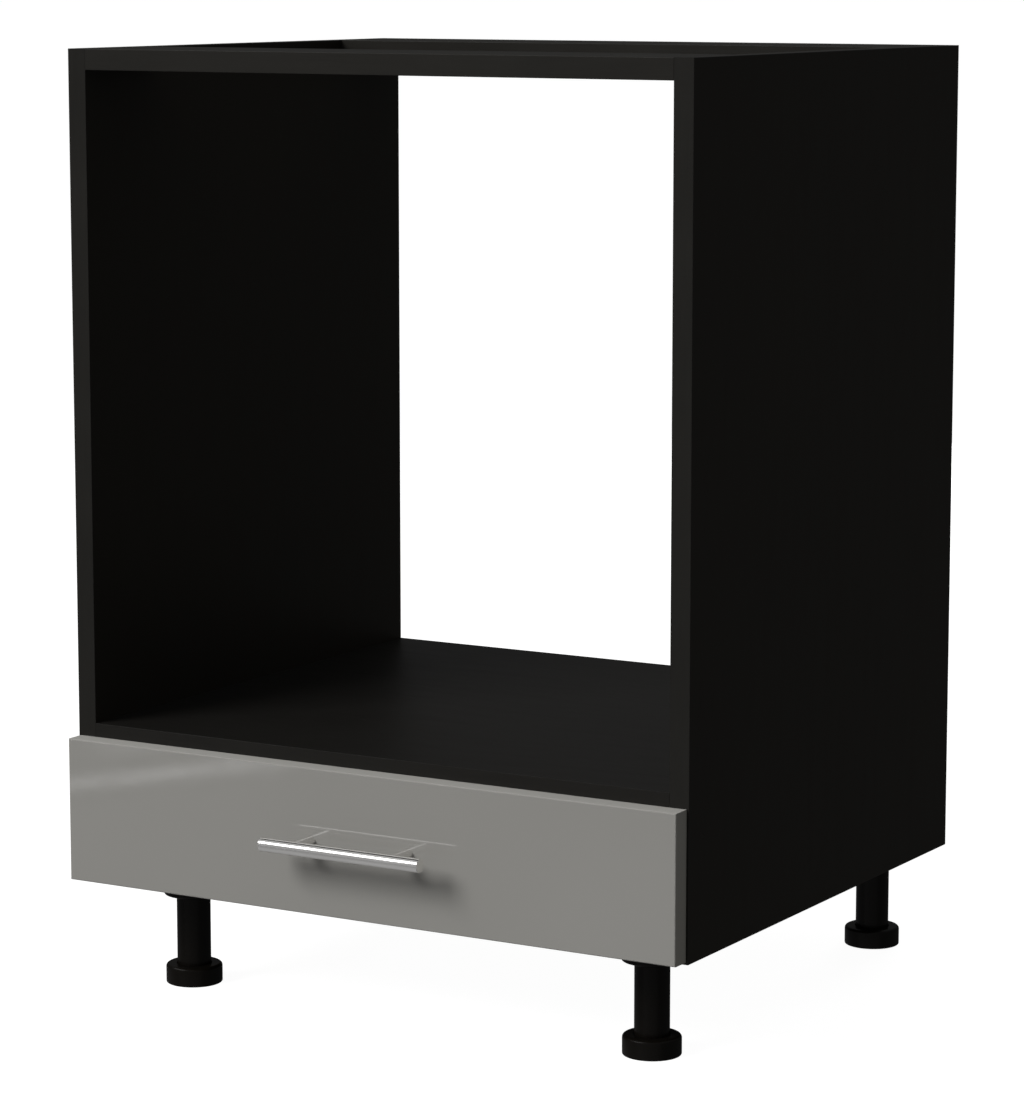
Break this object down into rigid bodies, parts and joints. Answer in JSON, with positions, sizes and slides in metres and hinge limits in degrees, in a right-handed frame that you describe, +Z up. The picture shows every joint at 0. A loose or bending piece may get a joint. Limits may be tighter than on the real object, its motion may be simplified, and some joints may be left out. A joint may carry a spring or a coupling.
{
  "type": "oven housing unit",
  "caption": "Base cabinet for a built-in oven: open black carcass with a shelf, a shallow gloss-fronted drawer on roller runners with a bar handle, and adjustable legs.",
  "frame": {"origin": "bottom centre of the bounding box: on the floor that the feet stand on, in the middle of the width and of the overall depth from the handle's front to the rear leg sockets", "axes": "+Z up, +Y from the front towards the back, +X to the right seen from the front"},
  "size_m": [0.6, 0.5746, 0.82],
  "materials": {
    "black_board": "black melamine-faced board, fine satin texture",
    "black_edging": "black edge band, satin",
    "gloss_front": "warm grey high gloss lacquer",
    "handle_steel": "polished and finely brushed stainless steel",
    "leg_plastic": "black moulded plastic, satin",
    "coated_steel": "light grey powder coat on steel sheet",
    "drawer_board": "light grey melamine-faced board",
    "roller_nylon": "white nylon",
    "plated_steel": "bright zinc plate",
    "zinc_casting": "bare zinc die casting",
    "beech": "plain beech"
  },
  "bodies": {
    "cabinet": {"side_panel_left": "black_board", "side_panel_right": "black_board", "bottom_panel": "black_board", "oven_shelf": "black_board", "top_rail_front": "black_board", "top_rail_rear": "black_board", "side_band_left": "black_edging", "side_band_right": "black_edging", "side_top_band_left": "black_edging", "side_top_band_right": "black_edging", "bottom_band": "black_edging", "shelf_band": "black_edging", "rail_band": "black_edging", "rear_rail_band": "black_edging", "cam_locks": "zinc_casting", "cam_bolts": "plated_steel", "wood_dowels": "beech", "cabinet_runner_left": "coated_steel", "cabinet_runner_right": "coated_steel", "runner_screws": "plated_steel", "cabinet_roller_rivets": "plated_steel", "leg_screws": "plated_steel", "leg_socket_front_left": "leg_plastic", "leg_socket_front_right": "leg_plastic", "leg_socket_rear_left": "leg_plastic", "leg_socket_rear_right": "leg_plastic"},
    "drawer": {"drawer_front": "gloss_front", "handle_bar": "handle_steel", "handle_post_left": "handle_steel", "handle_post_right": "handle_steel", "handle_screws": "plated_steel", "drawer_side_left": "coated_steel", "drawer_side_right": "coated_steel", "drawer_base": "drawer_board", "drawer_back": "drawer_board", "drawer_base_screws": "plated_steel", "drawer_back_screws": "plated_steel", "drawer_runner_left": "coated_steel", "drawer_runner_right": "coated_steel", "drawer_roller_rivets": "plated_steel", "front_bracket_left": "coated_steel", "front_bracket_right": "coated_steel", "front_bracket_screws": "plated_steel"},
    "front_roller_left": {"front_roller_left": "roller_nylon"},
    "front_roller_right": {"front_roller_right": "roller_nylon"},
    "rear_roller_left": {"rear_roller_left": "roller_nylon"},
    "rear_roller_right": {"rear_roller_right": "roller_nylon"},
    "leg_tube_front_left": {"leg_tube_front_left": "leg_plastic"},
    "foot_front_left": {"foot_front_left": "leg_plastic"},
    "leg_tube_front_right": {"leg_tube_front_right": "leg_plastic"},
    "foot_front_right": {"foot_front_right": "leg_plastic"},
    "leg_tube_rear_left": {"leg_tube_rear_left": "leg_plastic"},
    "foot_rear_left": {"foot_rear_left": "leg_plastic"},
    "leg_tube_rear_right": {"leg_tube_rear_right": "leg_plastic"},
    "foot_rear_right": {"foot_rear_right": "leg_plastic"}
  },
  "joints": [
    {"name": "drawer_slide", "type": "slide", "parent": "cabinet", "child": "drawer", "axis": [0, -1, 0], "range_m": [0, 0.345]},
    {"name": "front_roller_left_turn", "type": "hinge", "parent": "cabinet", "child": "front_roller_left", "pos_m": [-0.2758, -0.216, 0.1457], "axis": [1, 0, 0], "continuous": true},
    {"name": "rear_roller_left_turn", "type": "hinge", "parent": "drawer", "child": "rear_roller_left", "pos_m": [-0.2749, 0.203, 0.1425], "axis": [1, 0, 0], "continuous": true},
    {"name": "front_roller_right_turn", "type": "hinge", "parent": "cabinet", "child": "front_roller_right", "pos_m": [0.2758, -0.216, 0.1457], "axis": [1, 0, 0], "continuous": true},
    {"name": "rear_roller_right_turn", "type": "hinge", "parent": "drawer", "child": "rear_roller_right", "pos_m": [0.2749, 0.203, 0.1425], "axis": [1, 0, 0], "continuous": true},
    {"name": "leg_tube_front_left_turn", "type": "hinge", "parent": "cabinet", "child": "leg_tube_front_left", "pos_m": [-0.23, -0.164, 0.055], "axis": [0, 0, 1], "range_deg": [-288, 1440]},
    {"name": "foot_front_left_height", "type": "slide", "parent": "cabinet", "child": "foot_front_left", "axis": [0, 0, -1], "range_m": [-0.0041, 0.0201]},
    {"name": "leg_tube_front_right_turn", "type": "hinge", "parent": "cabinet", "child": "leg_tube_front_right", "pos_m": [0.23, -0.164, 0.055], "axis": [0, 0, 1], "range_deg": [-288, 1440]},
    {"name": "foot_front_right_height", "type": "slide", "parent": "cabinet", "child": "foot_front_right", "axis": [0, 0, -1], "range_m": [-0.0041, 0.0201]},
    {"name": "leg_tube_rear_left_turn", "type": "hinge", "parent": "cabinet", "child": "leg_tube_rear_left", "pos_m": [-0.23, 0.2615, 0.055], "axis": [0, 0, 1], "range_deg": [-288, 1440]},
    {"name": "foot_rear_left_height", "type": "slide", "parent": "cabinet", "child": "foot_rear_left", "axis": [0, 0, -1], "range_m": [-0.0041, 0.0201]},
    {"name": "leg_tube_rear_right_turn", "type": "hinge", "parent": "cabinet", "child": "leg_tube_rear_right", "pos_m": [0.23, 0.2615, 0.055], "axis": [0, 0, 1], "range_deg": [-288, 1440]},
    {"name": "foot_rear_right_height", "type": "slide", "parent": "cabinet", "child": "foot_rear_right", "axis": [0, 0, -1], "range_m": [-0.0041, 0.0201]}
  ],
  "couplings": [
    {"joint": "front_roller_left_turn", "follows": "drawer_slide", "rad_per_m": 100},
    {"joint": "rear_roller_left_turn", "follows": "drawer_slide", "rad_per_m": 100},
    {"joint": "front_roller_right_turn", "follows": "drawer_slide", "rad_per_m": 100},
    {"joint": "rear_roller_right_turn", "follows": "drawer_slide", "rad_per_m": 100},
    {"joint": "foot_front_left_height", "follows": "leg_tube_front_left_turn", "m_per_rad": 0.00079577},
    {"joint": "foot_front_right_height", "follows": "leg_tube_front_right_turn", "m_per_rad": 0.00079577},
    {"joint": "foot_rear_left_height", "follows": "leg_tube_rear_left_turn", "m_per_rad": 0.00079577},
    {"joint": "foot_rear_right_height", "follows": "leg_tube_rear_right_turn", "m_per_rad": 0.00079577}
  ]
}
